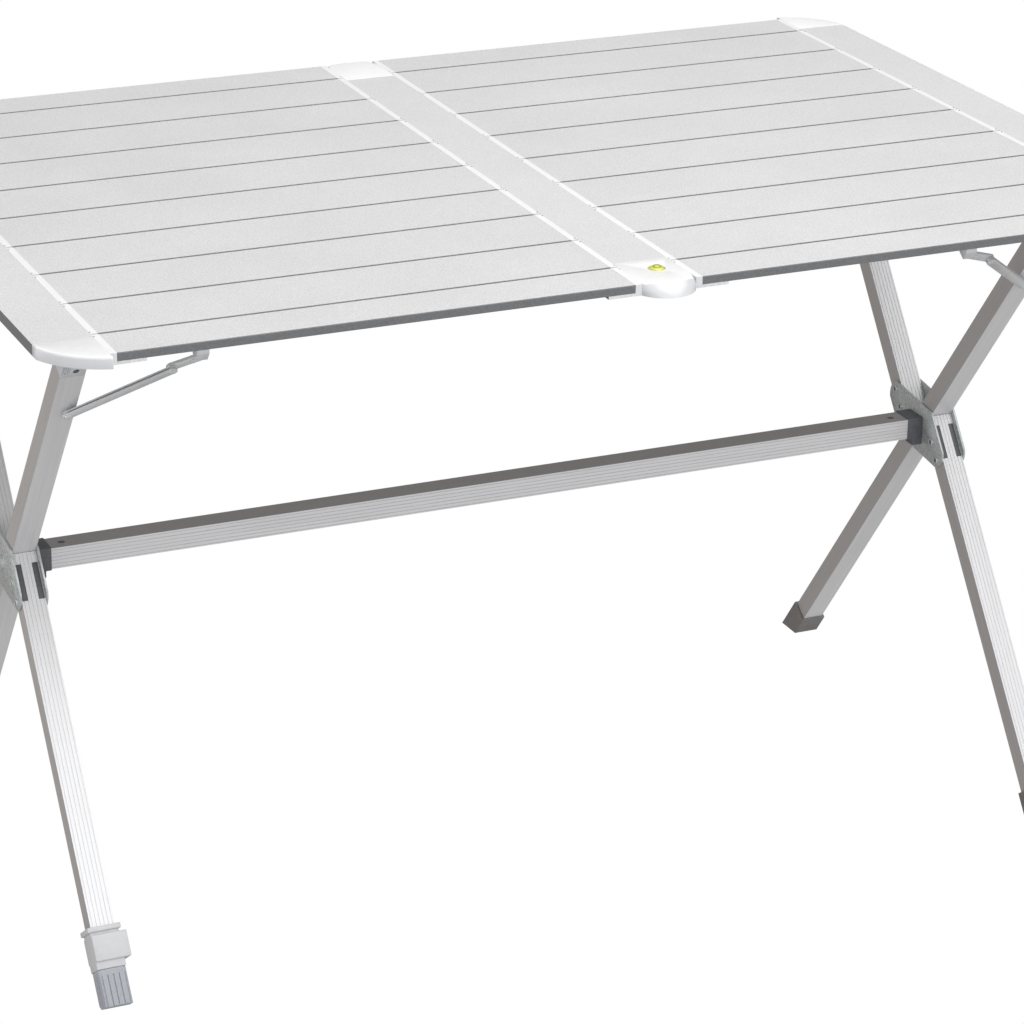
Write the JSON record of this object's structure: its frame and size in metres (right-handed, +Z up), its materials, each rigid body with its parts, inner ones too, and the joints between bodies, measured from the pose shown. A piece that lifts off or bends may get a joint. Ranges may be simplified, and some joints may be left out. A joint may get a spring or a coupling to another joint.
{
  "type": "folding table",
  "caption": "Rectangular slatted table top on two scissor leg frames joined by a crossbeam, with channel stays, hinged fold and one extending foot.",
  "frame": {"origin": "floor level under the middle of the top", "axes": "+X along the table, +Y from the front edge with the bubble level to the back, +Z up"},
  "size_m": [1.2, 0.848, 0.72],
  "materials": {
    "slat_aluminium": "speckled grey matt coating",
    "rail_aluminium": "speckled grey matt coating",
    "white_plastic": "smooth moulded",
    "level_ring": "clear yellow",
    "level_vial": "yellow-green liquid",
    "leg_aluminium": "satin anodised with fine flutes",
    "grey_plastic": "moulded",
    "dark_plastic": "moulded",
    "foot_plastic": "moulded",
    "shoe_plastic": "ribbed",
    "zinc_steel": "galvanised",
    "stay_metal": "satin"
  },
  "bodies": {
    "tabletop": {"centre_cap_back": "white_plastic", "centre_cap_front": "white_plastic", "corner_cap_back_left": "white_plastic", "corner_cap_back_right": "white_plastic", "corner_cap_front_left": "white_plastic", "corner_cap_front_right": "white_plastic", "end_strip_left_inner": "white_plastic", "end_strip_left_outer": "white_plastic", "end_strip_right_inner": "white_plastic", "end_strip_right_outer": "white_plastic", "leg_channel_left": "leg_aluminium", "leg_channel_right": "leg_aluminium", "level_ring": "level_ring", "level_vial": "level_vial", "rail_centre": "rail_aluminium", "rail_left": "rail_aluminium", "rail_right": "rail_aluminium", "slat_left_01": "slat_aluminium", "slat_left_02": "slat_aluminium", "slat_left_03": "slat_aluminium", "slat_left_04": "slat_aluminium", "slat_left_05": "slat_aluminium", "slat_left_06": "slat_aluminium", "slat_left_07": "slat_aluminium", "slat_left_08": "slat_aluminium", "slat_left_09": "slat_aluminium", "slat_left_10": "slat_aluminium", "slat_right_01": "slat_aluminium", "slat_right_02": "slat_aluminium", "slat_right_03": "slat_aluminium", "slat_right_04": "slat_aluminium", "slat_right_05": "slat_aluminium", "slat_right_06": "slat_aluminium", "slat_right_07": "slat_aluminium", "slat_right_08": "slat_aluminium", "slat_right_09": "slat_aluminium", "slat_right_10": "slat_aluminium", "stay_brackets": "stay_metal"},
    "straight_legs": {"hinge_plug_left": "grey_plastic", "hinge_plug_right": "grey_plastic", "rear_feet": "foot_plastic", "stay_left": "stay_metal", "stay_right": "stay_metal", "straight_leg_left": "leg_aluminium", "straight_leg_right": "leg_aluminium"},
    "split_legs": {"beam_joints": "dark_plastic", "crossbeam": "leg_aluminium", "foot_collar": "white_plastic", "front_foot_right": "foot_plastic", "hub_plates_left": "zinc_steel", "hub_plates_right": "zinc_steel", "slide_head_left": "dark_plastic", "slide_head_right": "dark_plastic", "slot_inserts": "dark_plastic", "split_leg_lower_left": "leg_aluminium", "split_leg_lower_right": "leg_aluminium", "split_leg_upper_left": "leg_aluminium", "split_leg_upper_right": "leg_aluminium"},
    "adjuster": {"adjusting_shoe": "shoe_plastic"}
  },
  "joints": [
    {"name": "leg_fold", "type": "hinge", "parent": "tabletop", "child": "straight_legs", "pos_m": [0, -0.24986, 0.6957], "axis": [-1, 0, 0], "range_deg": [0, 34]},
    {"name": "leg_scissor", "type": "hinge", "parent": "straight_legs", "child": "split_legs", "pos_m": [0, 0, 0.36], "axis": [1, 0, 0], "range_deg": [0, 68]},
    {"name": "foot_extension", "type": "slide", "parent": "split_legs", "child": "adjuster", "axis": [0, -0.5971, -0.8022], "range_m": [0, 0.045]}
  ],
  "couplings": [
    {"joint": "leg_scissor", "follows": "leg_fold", "ratio": 2}
  ]
}
